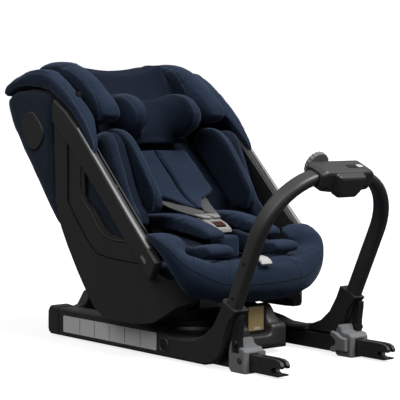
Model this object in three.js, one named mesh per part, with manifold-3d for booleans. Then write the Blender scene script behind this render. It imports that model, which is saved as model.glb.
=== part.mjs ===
// Rotating child car seat on an anchor base, with a rebound bar.
// Millimetres, +Z up. The seat faces -Y, towards the anchor arms and the rebound bar.
// The origin is on the turntable's axis, level with the underside of the base.
// "left" is the seated child's left, +X.
import * as THREE from 'three';
import { mergeVertices } from 'three/addons/utils/BufferGeometryUtils.js';
import Module from 'manifold-3d';

const wasm = await Module();
wasm.setup();

// ---- Driving dimensions ----
const GAP = 0.3; // between pieces that touch
const ARM_X = 140; // the two anchor points are 280 mm apart
const BASE = { front: -157.5, rear: 245, top: 42, halfWidth: 125.5, hubRadius: 42 };
const RAIL = { inner: 128, outer: 172, rear: 246, top: 64, bottom: 4, cap: 41 };
const HOUSING = { front: -213, back: -158, halfWidth: 84, shoulder: 60, top: 98 };
const TABLE = { radius: 116, bottom: 50.3, top: 66, hub: 38 };
const RECLINE_AXIS = { y: -180, z: 340 }; // centre of the curved track that the seat rides on
const TRACK_RADIUS = 268;
const BAR = {
  x: 158.5, // centre of each leg
  foot: { y: -313, z: 126 }, // where each leg leaves its collar
  lean: 0.4375, // radians from upright, towards the front
  rise: 267, // along the legs, from collar to the centre of the arch
  bend: 128,
  thick: 22, // across the arch
  deep: 33, // front to back
  buried: 74, // length of leg inside the collar
};
const SEAT = { coverOuter: 213, coverInner: 199, shell: 198, wall: 4, lobe: 68, strutOuter: 219, back: 217 };
const BACK_ANGLE = THREE.MathUtils.degToRad(44); // of the child's back, from level

const COLORS = {
  plastic: 0x2b2c2e,
  satin: 0x3d3f42,
  grey: 0x9a9b9c,
  steel: 0xb9bcc0,
  navy: 0x27344c,
  mesh: 0x1f2a40,
  trim: 0xb4b6b8,
  buckle: 0xa9a59e,
  red: 0x6e1016,
  tab: 0xd9d8d3,
};

// ---- Shape helpers ----
const X = new THREE.Vector3(1, 0, 0);
const Y = new THREE.Vector3(0, 1, 0);
const Z = new THREE.Vector3(0, 0, 1);
const SIDE_VIEW = new THREE.Matrix4().makeBasis(Y, Z, X); // outline in (y, z), thickness along x
const PLAN_VIEW = new THREE.Matrix4(); // outline in (x, y), thickness along z
const FRONT_VIEW = new THREE.Matrix4().makeBasis(X, Z, Y.clone().negate()); // outline in (x, z)

function polygon(points) {
  return new THREE.Shape(points.map(([u, v]) => new THREE.Vector2(u, v)));
}

function smooth(points, count = 28) {
  const curve = new THREE.CatmullRomCurve3(points.map(([u, v]) => new THREE.Vector3(u, v, 0)), true);
  const ring = curve.getSpacedPoints(count).slice(0, count);
  return new THREE.Shape(ring.map((p) => new THREE.Vector2(p.x, p.y)));
}

function rectangle(u0, u1, v0, v1, corner = 0) {
  if (corner === 0) return polygon([[u0, v0], [u1, v0], [u1, v1], [u0, v1]]);
  const shape = new THREE.Shape();
  shape.absarc(u1 - corner, v0 + corner, corner, -Math.PI / 2, 0);
  shape.absarc(u1 - corner, v1 - corner, corner, 0, Math.PI / 2);
  shape.absarc(u0 + corner, v1 - corner, corner, Math.PI / 2, Math.PI);
  shape.absarc(u0 + corner, v0 + corner, corner, Math.PI, Math.PI * 1.5);
  return shape;
}

// A flat outline given thickness. round softens the edges, and grow swells the outline.
function extrude(shape, from, to, { view = SIDE_VIEW, round = 0, grow = 0, steps = 2, curve = 5 } = {}) {
  const geometry = new THREE.ExtrudeGeometry(shape, {
    depth: to - from - 2 * round,
    bevelEnabled: round > 0,
    bevelThickness: round,
    bevelSize: round,
    bevelOffset: grow - round,
    bevelSegments: steps,
    curveSegments: curve,
  });
  geometry.translate(0, 0, from + round);
  return geometry.applyMatrix4(view);
}

// The same for an outline in (x, z), from y = front back to y = rear.
function extrudeBack(shape, front, rear, options = {}) {
  return extrude(shape, -rear, -front, { ...options, view: FRONT_VIEW });
}

function box(x0, x1, y0, y1, z0, z1) {
  const geometry = new THREE.BoxGeometry(x1 - x0, y1 - y0, z1 - z0);
  return geometry.translate((x0 + x1) / 2, (y0 + y1) / 2, (z0 + z1) / 2);
}

function rod(radius, from, to, sides = 20) {
  const start = new THREE.Vector3(...from);
  const along = new THREE.Vector3(...to).sub(start);
  const geometry = new THREE.CylinderGeometry(radius, radius, along.length(), sides);
  geometry.translate(0, along.length() / 2, 0);
  geometry.applyQuaternion(new THREE.Quaternion().setFromUnitVectors(Y, along.normalize()));
  return geometry.translate(start.x, start.y, start.z);
}

// Moves each point of a closed ring inwards, square to the ring there.
function insetRing(points, inset) {
  return points.map((point, i) => {
    const before = points.at(i - 1);
    const after = points[(i + 1) % points.length];
    const along = new THREE.Vector2().subVectors(after, before).normalize();
    return new THREE.Vector2(point.x - along.y * inset, point.y + along.x * inset);
  });
}

// A closed form through rings of points. cap is the outline that closes its two ends.
function loft(rings, cap) {
  const count = cap.length;
  const last = (rings.length - 1) * count;
  const ends = THREE.ShapeUtils.triangulateShape(cap, []);
  const faces = ends.flatMap(([a, b, c]) => [a, c, b, a + last, b + last, c + last]);
  for (let start = 0; start < last; start += count) {
    for (let i = 0; i < count; i += 1) {
      const next = (i + 1) % count;
      faces.push(start + i, start + next, start + next + count);
      faces.push(start + i, start + next + count, start + i + count);
    }
  }
  const geometry = new THREE.BufferGeometry();
  const corners = rings.flat().flatMap((point) => point.toArray());
  geometry.setAttribute('position', new THREE.Float32BufferAttribute(corners, 3));
  return geometry.setIndex(faces);
}

// A turned piece round the Z axis, from (radius, z) points that close on themselves.
function turned(points, sides = 40) {
  const ring = [...points, points[0]].map(([r, z]) => new THREE.Vector2(r, z));
  return new THREE.LatheGeometry(ring, sides).rotateX(Math.PI / 2);
}

function solidOf(geometry) {
  const bare = geometry.clone();
  bare.deleteAttribute('normal');
  bare.deleteAttribute('uv');
  const merged = mergeVertices(bare, 1e-3);
  return new wasm.Manifold(new wasm.Mesh({
    numProp: 3,
    vertProperties: merged.attributes.position.array,
    triVerts: new Uint32Array(merged.index.array),
  }));
}

function geometryOf(solid) {
  const { vertProperties, triVerts } = solid.getMesh();
  const geometry = new THREE.BufferGeometry();
  geometry.setAttribute('position', new THREE.BufferAttribute(vertProperties, 3));
  geometry.setIndex(new THREE.BufferAttribute(triVerts, 1));
  return geometry;
}

function cut(body, ...tools) {
  return geometryOf(tools.reduce((rest, tool) => rest.subtract(solidOf(tool)), solidOf(body)));
}

function join(first, ...others) {
  return geometryOf(others.reduce((sum, other) => sum.add(solidOf(other)), solidOf(first)));
}

function common(first, second) {
  return geometryOf(solidOf(first).intersect(solidOf(second)));
}

// The same geometry on the other side of the X = 0 plane.
function mirrored(geometry) {
  const copy = mergeVertices(geometry.clone().scale(-1, 1, 1).deleteAttribute('normal'));
  const order = copy.index.array;
  for (let i = 0; i < order.length; i += 3) {
    const first = order[i];
    order[i] = order[i + 1];
    order[i + 1] = first;
  }
  return copy;
}

const part = new THREE.Group();
const groups = {};
for (const name of ['base', 'anchors', 'rebound_bar', 'turntable', 'seat', 'headrest']) {
  groups[name] = new THREE.Group();
  part.add(groups[name]);
}

function add(group, name, geometry, color, roughness = 0.6, metalness = 0) {
  const material = new THREE.MeshStandardMaterial({ color, roughness, metalness });
  const mesh = new THREE.Mesh(geometry, material);
  mesh.name = name;
  groups[group].add(mesh);
}

function addPair(group, name, geometry, color, roughness = 0.6, metalness = 0) {
  add(group, `${name}_left`, geometry, color, roughness, metalness);
  add(group, `${name}_right`, mirrored(geometry), color, roughness, metalness);
}

// ---- Base ----
function basePan() {
  const plate = extrude(rectangle(-BASE.halfWidth, BASE.halfWidth, BASE.front, BASE.rear, 12), 0, BASE.top, {
    view: PLAN_VIEW,
  });
  const hubWell = rod(BASE.hubRadius, [0, 0, 29], [0, 0, BASE.top + 1], 32);
  const barSlot = box(-BASE.halfWidth - 1, BASE.halfWidth + 1, -132, -44, 8, 25);
  const rearRecess = box(-105, 105, 130, 205, 20, BASE.top + 1);
  return cut(plate, hubWell, barSlot, rearRecess);
}

// Side rail that sweeps up at the front into the foot of the rebound bar.
function baseRail() {
  const outline = polygon([
    [RAIL.rear, RAIL.bottom], [-238, RAIL.bottom], [-262, 9], [-282, 22], [-294, 42], [-300, 66],
    [-312, 92], [-333, 115.5], [-291.5, 135.5], [-281, 112], [-262, 82], [-238, 62], [-208, 50],
    [-166, 45], [-128, 46], [-96, 54], [-40, 62], [20, RAIL.top], [RAIL.rear, RAIL.top],
  ]);
  const body = extrude(outline, RAIL.inner, RAIL.outer, { round: 4, steps: 1 });
  const armChannel = box(RAIL.inner - 1, 156, -300, -36, -1, 39);
  const innerRelief = box(RAIL.inner - 1, 140, -345, -205, 38, 140);
  const buttonWell = rod(11.4, [161, -118, 28], [RAIL.outer + 1, -118, 28], 24);
  return cut(body, armChannel, innerRelief, buttonWell, barTube(0.4));
}

function railCap() {
  const { rear, cap, bottom, top } = RAIL;
  const outline = polygon([
    [rear + GAP, bottom], [rear + cap - 9, bottom], [rear + cap - 2, bottom + 5], [rear + cap, bottom + 14],
    [rear + cap - 1, top - 9], [rear + cap - 8, top + 1], [rear + cap - 18, top + 3], [rear + GAP, top + 1],
  ]);
  return extrude(outline, RAIL.inner, RAIL.outer + 1, { round: 4, steps: 1 });
}

// Cross member behind the turntable, with a raised carrying grip in the middle.
function rearBridge() {
  const outline = polygon([
    [-125.5, 44], [125.5, 44], [125.5, 62], [112, 66], [96, 92], [84, 98], [-84, 98], [-96, 92],
    [-112, 66], [-125.5, 62],
  ]);
  const bar = extrudeBack(outline, 234, 264, { round: 4, steps: 1 });
  const fingerSlot = box(-62, 62, 220, 270, 60, 84);
  return cut(bar, fingerSlot);
}

function frontHousing() {
  const { front, back, halfWidth, shoulder, top } = HOUSING;
  const lower = extrude(
    polygon([
      [-halfWidth, back], [-halfWidth, front + 26], [-halfWidth + 8, front + 10], [-halfWidth + 24, front],
      [halfWidth - 24, front], [halfWidth - 8, front + 10], [halfWidth, front + 26], [halfWidth, back],
    ]), 14, shoulder, { view: PLAN_VIEW, round: 4, steps: 1 });
  const slope = extrude(
    polygon([
      [back, 30], [front + 10, 30], [front + 12, shoulder + 2],
      [front + 30, top - 6], [front + 36, top], [back, top],
    ]), -60, 60, { round: 6, steps: 2 });
  const shoulders = extrudeBack(
    polygon([[-84, 40], [84, 40], [80, 62], [50, top - 6], [-50, top - 6], [-80, 62]]), front + 31, back);
  const panelSeat = box(-29, 29, front - 1, front + 21.4, 40, top + 5);
  return cut(join(lower, slope, shoulders), panelSeat);
}

function frontPanel() {
  const face = polygon([[-197, 40.5], [-192.2, 40.5], [-192.2, 99], [-197, 99]]);
  return extrude(face, -28, 28, { round: 1, steps: 1 });
}

function bearingRing() {
  return turned([[84, BASE.top + GAP], [110, BASE.top + GAP], [110, 50], [84, 50]], 36);
}

// Grey steel-backed bracket that holds an anchor arm and the foot of the rebound bar.
function isofixBracket() {
  const outline = polygon([
    [-346, 0], [-346, 40], [-341, 47], [-330, 48], [-322, 50], [-318, 60], [-310, 62], [-304, 52], [-301, 38],
    [-301, 6], [-307, 0],
  ]);
  const body = extrude(outline, ARM_X - 25, ARM_X + 25, { round: 2.5, steps: 1 });
  const armBore = box(ARM_X - 12, ARM_X + 12, -350, -295, 3, 37);
  const lugSlot = box(BAR.x - 9.5, BAR.x + 12, -331, -311, 36, 70);
  return cut(body, armBore, lugSlot);
}

// Link from the collar of the rebound bar straight down into the bracket, with its round pin.
function reboundPost() {
  const strap = extrude(polygon([[-328, 42], [-315, 42], [-314, 70], [-320, 98], [-327, 106], [-333, 108],
    [-333, 98], [-329, 70]]), BAR.x - 7, BAR.x + 7);
  const pin = rod(6, [BAR.x - 8.5, -321.5, 55], [BAR.x + 11, -321.5, 55], 16);
  return join(strap, pin);
}

function extendButton() {
  return join(rod(11, [166.5, -118, 28], [173.5, -118, 28], 24), rod(5, [173, -118, 28], [174.5, -118, 28], 16));
}

// ---- Anchor carriage ----
// Arm with an open jaw at its tip. A slit along its middle holds the hook.
function isofixArm() {
  const outline = polygon([
    [-104, 5], [-420, 3.5], [-426, 5], [-428, 8.5], [-412, 8.5], [-411.5, 8.1], [-410, 8.1], [-404, 11],
    [-402, 14], [-404, 17], [-410, 19.5], [-430, 19.5], [-431, 25], [-427, 31], [-418, 34.5], [-404, 35.5],
    [-104, 35.5],
  ]);
  const body = extrude(outline, ARM_X - 11, ARM_X + 11);
  const hookSlit = box(ARM_X - 3.5, ARM_X + 3.5, -435, -366, 10, 40);
  return cut(body, hookSlit);
}

function isofixCrossbar() {
  return box(-ARM_X + 11 + GAP, ARM_X - 11 - GAP, -122, -106, 10, 23);
}

// Latch hook that drops into the jaw from above. It turns on a pin across the arm.
function isofixHook() {
  const outline = polygon([
    [-371, 20], [-371, 27], [-398, 26.5], [-409, 25], [-413, 18], [-412, 10.5], [-407, 10.5],
    [-405.5, 17], [-402, 20.5], [-388, 20.5], [-384, 18], [-376, 18],
  ]);
  return extrude(outline, ARM_X - 2.8, ARM_X + 2.8);
}

// Two-pronged thumb slide on the inner side of the bracket.
function releaseLever() {
  const outline = polygon([
    [-340, 12], [-318, 12], [-306, 8], [-296, 10], [-300, 18], [-312, 24], [-312, 32], [-298, 42],
    [-300, 50], [-312, 48], [-326, 40], [-340, 38],
  ]);
  return extrude(outline, ARM_X - 36, ARM_X - 25 - GAP, { round: 2, steps: 1 });
}

// ---- Rebound bar ----
const LEG_UP = new THREE.Vector3(0, -Math.sin(BAR.lean), Math.cos(BAR.lean));
const BAR_FOOT = new THREE.Vector3(0, BAR.foot.y, BAR.foot.z);

function barPoint(x, along) {
  return BAR_FOOT.clone().addScaledVector(LEG_UP, along).add(new THREE.Vector3(x, 0, 0));
}

// The bent tube. grow swells it, to cut the bores that it runs in.
function barTube(grow = 0) {
  const path = new THREE.CurvePath();
  const buried = BAR.buried + 10 * grow;
  const shoulder = BAR.rise - BAR.bend;
  const legTop = (side) => barPoint(side * BAR.x, shoulder);
  const archEnd = (side) => barPoint(side * (BAR.x - BAR.bend), BAR.rise);
  const corner = (side) => {
    const curve = new THREE.Curve();
    curve.getPoint = (t) => {
      const turn = (side < 0 ? t : 1 - t) * Math.PI / 2;
      const x = side * (BAR.x - BAR.bend + BAR.bend * Math.cos(turn));
      return barPoint(x, shoulder + BAR.bend * Math.sin(turn));
    };
    return curve;
  };
  path.add(new THREE.LineCurve3(barPoint(-BAR.x, -buried), legTop(-1)));
  path.add(corner(-1));
  path.add(new THREE.LineCurve3(archEnd(-1), archEnd(1)));
  path.add(corner(1));
  path.add(new THREE.LineCurve3(legTop(1), barPoint(BAR.x, -buried)));
  const thick = BAR.thick / 2 + grow;
  const deep = BAR.deep / 2 + grow;
  const section = rectangle(-thick, thick, -deep, deep, 9);
  return new THREE.ExtrudeGeometry(section, { steps: 60, curveSegments: 2, extrudePath: path });
}

// Grip housing on the middle of the arch, drawn in the arch's plane: u across, v along the legs.
function reboundHousing() {
  const body = extrude(
    polygon([[-68, -14], [-60, -24], [-34, -27], [34, -27], [60, -24], [68, -14], [68, 10], [58, 17],
      [-58, 17], [-68, 10]]), -BAR.deep / 2 - 9, BAR.deep / 2 + 9, { view: FRONT_VIEW, round: 6 });
  const block = extrude(
    polygon([[-35, 12], [-33, -20], [-22, -33], [22, -33], [33, -20], [35, 12]]),
    10, BAR.deep / 2 + 21, { view: FRONT_VIEW, round: 6 });
  const place = barPoint(0, BAR.rise);
  const housing = join(body, block).rotateX(BAR.lean).translate(place.x, place.y, place.z);
  return cut(housing, barTube(0.4));
}

function reboundKnob() {
  const grips = new THREE.Shape();
  const count = 40;
  for (let i = 0; i < count; i += 1) {
    const angle = (i / count) * Math.PI * 2;
    const radius = i % 2 ? 25.5 : 27;
    const [u, v] = [radius * Math.cos(angle), radius * Math.sin(angle)];
    if (i === 0) grips.moveTo(u, v);
    else grips.lineTo(u, v);
  }
  const place = barPoint(-34, BAR.rise + 3);
  const behind = -BAR.deep / 2 - 9 - GAP;
  const knob = extrude(grips, behind - 11, behind, { view: FRONT_VIEW, round: 1.5, steps: 1 });
  return knob.rotateX(BAR.lean).translate(place.x, place.y, place.z);
}

// ---- Turntable ----
function turntableDisc() {
  const { radius, bottom, top, hub } = TABLE;
  const profile = [
    [0, 30], [hub, 30], [hub, bottom], [radius, bottom], [radius, top - 4], [radius - 4, top], [0, top],
  ];
  return new THREE.LatheGeometry(profile.map(([r, z]) => new THREE.Vector2(r, z)), 40).rotateX(Math.PI / 2);
}

// Height of the curved track below the recline axis.
function trackHeight(radius, y) {
  return RECLINE_AXIS.z - Math.sqrt(radius ** 2 - (y - RECLINE_AXIS.y) ** 2);
}

function trackCurve(radius, front, rear) {
  const points = [];
  for (let i = 0; i <= 5; i += 1) {
    const y = front + ((rear - front) * i) / 5;
    points.push([y, trackHeight(radius, y)]);
  }
  return points;
}

// Carrier that turns with the table. Its curved lip guides the runner under the seat.
function reclineCradle() {
  const floor = TABLE.top + GAP;
  const channel = trackCurve(TRACK_RADIUS + 0.5, -95, -46);
  const outline = polygon([[-95, floor], [96, floor], [104, 84], [96, 106], [-42, 106], ...channel.reverse()]);
  return extrude(outline, -96, 96);
}

function reclineRunner() {
  const track = trackCurve(TRACK_RADIUS, -95, -46);
  return extrude(polygon([...track, [-46, 112.4], [-95, 112.4]]), -60, 60);
}

function rotationLever() {
  const outline = polygon([
    [-122, 72], [-117, 69], [-99, 69], [-95 - GAP, 73], [-95 - GAP, 80], [-104, 81], [-118, 79],
  ]);
  return extrude(outline, -34, 34, { round: 2, steps: 1 });
}

// ---- Seat shell and its side panels ----
// Side outline of the whole bucket, closed above and in front where the opening is cut later.
const BUCKET = polygon([
  [-150, 113], [-20, 113], [52, 116], [98, 140], [140, 186], [184, 238], [232, 292], [278, 346],
  [322, 402], [358, 456], [378, 500], [384, 540], [360, 600], [200, 640], [-60, 500], [-190, 250], [-190, 130],
]);

// The front of each strut, which is also the rim of the shell beside the child.
const STRUT_FRONT = [[-153, 194], [-123, 223], [-67, 276], [32, 375], [108, 450], [150, 484.5]];
const STRUT_REAR = [[198, 462], [140, 414], [22, 304], [-51, 231], [-86, 199], [-115, 171], [-131, 157]];
const ARM_REAR = [[193, 299], [182, 262], [173, 243]]; // where the side cover meets the back shell
const RIM_TOP = [[194, 511], [218, 523.5], [250, 529], [294, 533], [330, 529.5], [380, 511], [430, 480]];

function bucketBlock(halfWidth, grow, round = 46) {
  return extrude(BUCKET, -halfWidth, halfWidth, { round, grow, steps: 4 });
}

// Everything in front of and above the rim of the shell.
function rimCutter() {
  const rim = polygon([
    [-300, 100], [-151, 100], [-151, 194], ...STRUT_FRONT, ...RIM_TOP, [430, 700], [-300, 700],
  ]);
  return extrude(rim, -260, 260);
}

// Plan of the shell's rounded front, drawn in by margin.
function shellPlan(margin) {
  const right = [[213, 600], [213, -80], [207, -106], [190, -131], [164, -151], [128, -160], [60, -162]];
  const left = right.map(([x, y]) => [-x, y]);
  return new THREE.Shape(insetRing(polygon([...left, ...right.toReversed()]).getPoints(), margin));
}

function seatShell() {
  const hollow = bucketBlock(SEAT.shell - SEAT.wall, -SEAT.wall, 42);
  const body = cut(bucketBlock(SEAT.shell, 0), hollow, rimCutter());
  return common(body, extrude(shellPlan(15), 60, 700, { view: PLAN_VIEW }));
}

function upperBackShell() {
  const skin = cut(bucketBlock(SEAT.back, 25, 62), bucketBlock(SEAT.coverInner, 1, 47), rimCutter());
  const region = polygon([
    ...ARM_REAR.toReversed().map(([y, z]) => [y + GAP, z + GAP]), [200, 458], [201, 700], [500, 700], [500, 243.3],
  ]);
  return common(skin, extrude(region, -260, 260));
}

// Black side panel with the hanging lobe that hides the turntable.
function sideCover() {
  const outline = polygon([
    ...STRUT_REAR.map(([y, z]) => [y - GAP, z - 1.5]), [-150, 160], [-158, 145], [-175, 132], [-175, 120],
    [-160, 112], [-147, 101], [-136, 88], [-120, 75], [-100, 70], [-70, SEAT.lobe], [0, SEAT.lobe], [30, 72],
    [58, 88], [86, 119], [116, 157], [150, 205], ...ARM_REAR.toReversed(),
  ]);
  const slab = extrude(outline, 121, SEAT.coverOuter + 1);
  const outside = extrude(shellPlan(0), 60, 600, { view: PLAN_VIEW });
  const inside = extrude(shellPlan(SEAT.coverOuter - SEAT.coverInner), 50, 610, { view: PLAN_VIEW });
  const panelOpening = extrude(insetOutline(0.4), SEAT.coverInner - 1, SEAT.coverOuter + 2);
  return cut(common(slab, outside), inside, panelOpening);
}

// Outline of the recessed panel behind the strut, which covers its front edge.
function insetOutline(margin) {
  const slant = margin * Math.SQRT1_2;
  const underStrut = STRUT_REAR.slice(1, 5).map(([y, z]) => [y - 14, z + 14]);
  return polygon([
    [150 + margin, 430], [150 + margin, 297], [128 + slant, 269 - slant], [87 + slant, 225 - slant],
    [67 + slant, 208 - slant], [51, 197 - margin], [8, 190 - margin], [-97 - margin, 186 - margin],
    ...underStrut.toReversed(),
  ]);
}

function insetPanel() {
  const body = extrude(insetOutline(-0.4), SEAT.coverInner + 2, SEAT.coverOuter - 3, { round: 1.5, steps: 1 });
  const window = polygon([
    [95, 380], [91, 312], [80, 298], [56, 284], [25, 252], [3, 239], [-33, 233.5], [-60, 233], [-60, 420],
  ]);
  const strutSide = polygon([...STRUT_REAR.map(([y, z]) => [y - GAP, z - 1.5]), [-131, 500], [198, 500]]);
  const depth = [SEAT.coverInner - 1, SEAT.coverOuter + 1];
  return cut(body, extrude(window, ...depth), extrude(strutSide, ...depth));
}

function sideStrut() {
  const outline = polygon([...STRUT_FRONT, [192, 509.5], [199, 499], ...STRUT_REAR]);
  return extrude(outline, SEAT.coverInner + 1, SEAT.strutOuter, { round: 3, steps: 1 });
}

function impactPad() {
  const outline = smooth([[309, 461], [293, 478], [267, 483], [227, 445], [224, 435], [252, 403], [286, 410]], 21);
  return extrude(outline, SEAT.back + GAP, SEAT.back + 5, { round: 2, steps: 1 });
}

// ---- Cushions and padding ----
// The apron along its left half, from the strut to the middle: plan point of its rim seam, then the
// heights of its underside, of the seam and of the crest behind it.
const APRON = [
  { rim: [218, -98], under: 214, seam: 249, crest: 250 },
  { rim: [218, -132], under: 196, seam: 245, crest: 247 },
  { rim: [215, -155], under: 182, seam: 237, crest: 241 },
  { rim: [209, -179], under: 160, seam: 223, crest: 233 },
  { rim: [197, -196], under: 140, seam: 205, crest: 222 },
  { rim: [182, -208], under: 128, seam: 188, crest: 213 },
  { rim: [152, -221], under: 118, seam: 171, crest: 206 },
  { rim: [112, -230], under: 112, seam: 154, crest: 194 },
  { rim: [56, -235], under: 109, seam: 148, crest: 190 },
  { rim: [0, -237], under: 108, seam: 147, crest: 190 },
];

// Section of the apron, as (distance in from the rim, height).
function apronSection({ under, seam, crest }) {
  const rise = crest - seam;
  const drop = seam - under;
  return [
    [80, crest - 12], [72, crest - 8], [42, crest], [26, crest - 1], [11, seam + 0.75 * rise],
    [3, seam + 0.38 * rise], [0, seam], [1, seam - 0.35 * drop], [9, under + 0.3 * drop], [24, under],
    [80, under + 4],
  ];
}

function apronBody() {
  const half = APRON.map(({ rim: [x, y], ...heights }) => ({ rim: [-x, y], ...heights }));
  const stations = [...half, ...APRON.slice(0, -1).reverse()];
  const plan = stations.map(({ rim }) => new THREE.Vector2(...rim));
  const rings = stations.map((station, i) => {
    const along = plan[Math.min(i + 1, plan.length - 1)].clone().sub(plan[Math.max(i - 1, 0)]).normalize();
    return apronSection(station).map(([inwards, z]) => new THREE.Vector3(
      plan[i].x - along.y * inwards, plan[i].y + along.x * inwards, z));
  });
  return loft(rings, apronSection(stations[0]).map(([u, v]) => new THREE.Vector2(u, v)));
}

// Front apron wrapped round the edge of the shell, joined to the cushion inside it.
function seatCushion() {
  const aboveRim = polygon([
    [-60, 300], [-250, 300], [-250, 90], [-151.5, 90], [-151.5, 200], [-125, 226], [-110, 240],
  ]);
  const apron = common(apronBody(), extrude(aboveRim, -219, 219));
  const strutSpace = polygon([
    [-120, 90], [-176, 90], [-176.5, 133], [-160, 147], [-153, 160], [-157, 192], [-155, 196],
    ...STRUT_FRONT.slice(1).map(([y, z]) => [y - 1, z + 1.5]), [60, 60],
  ]);
  const strutSpaces = [-1, 1].map((hand) => extrude(strutSpace, hand * 170 - 50, hand * 170 + 50));
  const handleRecess = box(-44, 44, -210, -158, 100, 119);
  const inner = extrude(rectangle(-152, 56, 119, 180, 8), -189, 189, { round: 6, steps: 1 });
  const shellSpace = common(inner, bucketBlock(SEAT.shell - SEAT.wall - 1, -SEAT.wall - 1, 42));
  const cushion = common(shellSpace, extrude(shellPlan(22), 60, 700, { view: PLAN_VIEW }));
  const neck = box(-110, 110, -165, -130, 122, 176);
  return join(cut(apron, ...strutSpaces, handleRecess), cushion, neck);
}

function backCushion() {
  const region = polygon([
    [62, 100], [58, 200], [34, 258], [40, 296], [150, 402], [235, 484], [328, 556], [500, 520], [500, 100],
  ]);
  const fill = common(bucketBlock(SEAT.shell - SEAT.wall - 1, -SEAT.wall - 1, 42), extrude(region, -138, 138));
  return cut(fill, extrude(polygon([[200, 600], [250, 517], [330, 527], [374, 508], [430, 600]]), -260, 260));
}

function wingCover() {
  const rim = [
    [52, 398.2], [108, 453.5], [148, 488.5], [193, 514.5], [217, 527], [250, 532.5], [294, 536.5], [330, 533], [380, 514.5],
  ];
  const outline = polygon([
    ...rim, [398, 524], [386, 541], [354, 556], [303, 571], [264, 575], [230, 571], [193, 551], [150, 521],
    [114, 490], [92, 468], [76, 446], [60, 421],
  ]);
  return extrude(outline, 176, SEAT.coverOuter + 2, { round: 4.5, steps: 2 });
}

// Padded rim across the back, between the two wings.
function backCollar() {
  const outline = smooth([[318, 533], [350, 525], [380, 516], [393, 526], [384, 543], [350, 556], [322, 549]], 16);
  return extrude(outline, -175.5, 175.5, { round: 3, steps: 1 });
}

function sidePad() {
  const outline = smooth([
    [150, 424], [104, 440], [74, 446], [48, 430], [32, 400], [18, 372], [0, 333], [-22, 296], [-40, 270],
    [-40, 252], [-10, 240], [60, 250], [110, 330],
  ], 26);
  const pad = extrude(outline, 139.5, 175.5, { round: 7 });
  return common(pad, bucketBlock(SEAT.shell - SEAT.wall - 1, -SEAT.wall - 1, 42));
}

function bodyBolster() {
  const outline = smooth([
    [150, 414], [140, 438], [120, 450], [96, 452], [66, 447], [36, 428], [6, 394], [-24, 356], [-48, 324],
    [-56, 304], [-52, 284], [-38, 277], [0, 277], [24, 284], [36, 300], [90, 352],
  ], 30);
  return extrude(outline, 117, 137, { round: 8 });
}

function hipBolster() {
  const outline = smooth([
    [30, 262], [-20, 271], [-80, 268], [-150, 250], [-190, 228], [-198, 209], [-180, 199], [-130, 191],
    [-90, 190], [-30, 200], [22, 226],
  ], 24);
  return extrude(outline, 46, 124, { round: 15 });
}

function crotchPad() {
  return extrude(rectangle(-122, -80, 185, 234, 8), -27, 27, { round: 6, steps: 1 });
}

function buckleBody() {
  const outline = polygon([[0, 263], [-8, 277], [-46, 269], [-84, 255], [-98, 245], [-100, 238], [-60, 245]]);
  const body = extrude(outline, -24, 24, { round: 3, steps: 1 });
  return cut(body, box(-13, 13, -92, -69, 246, 275));
}

function buckleButton() {
  return extrude(polygon([[-91, 249.3], [-71, 249.3], [-71, 258], [-78, 259], [-91, 253]]), -12, 12);
}

// Pad across the chest for the two shoulder straps, with a slit between its halves.
function shoulderPads() {
  const half = (side) => polygon([
    [side * 2, -16], [side * 38, 4], [side * 84, 46], [side * 86, 152], [side * 2, 160]]);
  const pads = [-1, 1].map((side) => extrude(half(side), 1.5, 15.5, { view: PLAN_VIEW, round: 3, steps: 1 }));
  const bridge = box(-6, 6, 120, 152, 4, 10);
  const both = join(pads[0], pads[1], bridge);
  return both.rotateX(BACK_ANGLE).translate(0, 24, 282);
}

// Pull tab of the harness adjuster, lying on the front of the cushion.
function harnessTab() {
  const outline = polygon([
    [-193, 191.5], [-211, 191.5], [-221, 187], [-228, 181], [-231, 185], [-226, 191], [-217, 196],
    [-206, 198], [-193, 198],
  ]);
  return extrude(outline, -14, 14, { round: 1.5, steps: 1 });
}

function reclineHandle() {
  const plate = extrude(rectangle(-40, 40, -198, -162, 8), 106, 115, { view: PLAN_VIEW, round: 2, steps: 1 });
  return cut(plate, box(-24, 24, -186, -170, 100, 120));
}

// ---- Headrest ----
function headrestCore() {
  const outline = polygon([
    [158, 414], [172, 426], [236, 489], [330, 574], [300, 580], [262, 566], [222, 508], [178, 454], [152, 424],
  ]);
  return extrude(outline, -116, 116, { round: 5, steps: 1 });
}

function headrestWing() {
  const outline = smooth([
    [334, 579], [310, 588], [266, 592], [214, 583], [168, 562], [123, 530], [88, 498], [78, 480], [90, 462],
    [130, 457], [190, 466], [250, 508],
  ], 26);
  return extrude(outline, 116 + 1, 170, { round: 15 });
}

function headPillow() {
  const wing = smooth([
    [198, 514], [140, 524], [98, 512], [71, 483], [78, 454], [108, 432], [140, 424], [168, 452], [196, 488],
  ], 22);
  const wings = [-1, 1].map((side) => extrude(wing, side * 71 - 19, side * 71 + 19, { round: 11 }));
  const middle = extrude(polygon([[122, 412], [142, 410], [172, 452], [206, 494], [196, 512], [178, 504]]), -60, 60);
  return join(middle, ...wings);
}

// ---- Assembly ----
add('base', 'base_pan', basePan(), COLORS.plastic);
addPair('base', 'base_rail', baseRail(), COLORS.plastic);
addPair('base', 'rail_cap', railCap(), COLORS.plastic);
add('base', 'rear_bridge', rearBridge(), COLORS.plastic);
add('base', 'front_housing', frontHousing(), COLORS.satin, 0.4);
add('base', 'front_panel', frontPanel(), COLORS.plastic);
add('base', 'bearing_ring', bearingRing(), COLORS.steel, 0.35, 1);
addPair('base', 'isofix_bracket', isofixBracket(), COLORS.grey, 0.5);
addPair('base', 'rebound_post', reboundPost(), COLORS.plastic, 0.4);
addPair('base', 'extend_button', extendButton(), COLORS.plastic);

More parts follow.
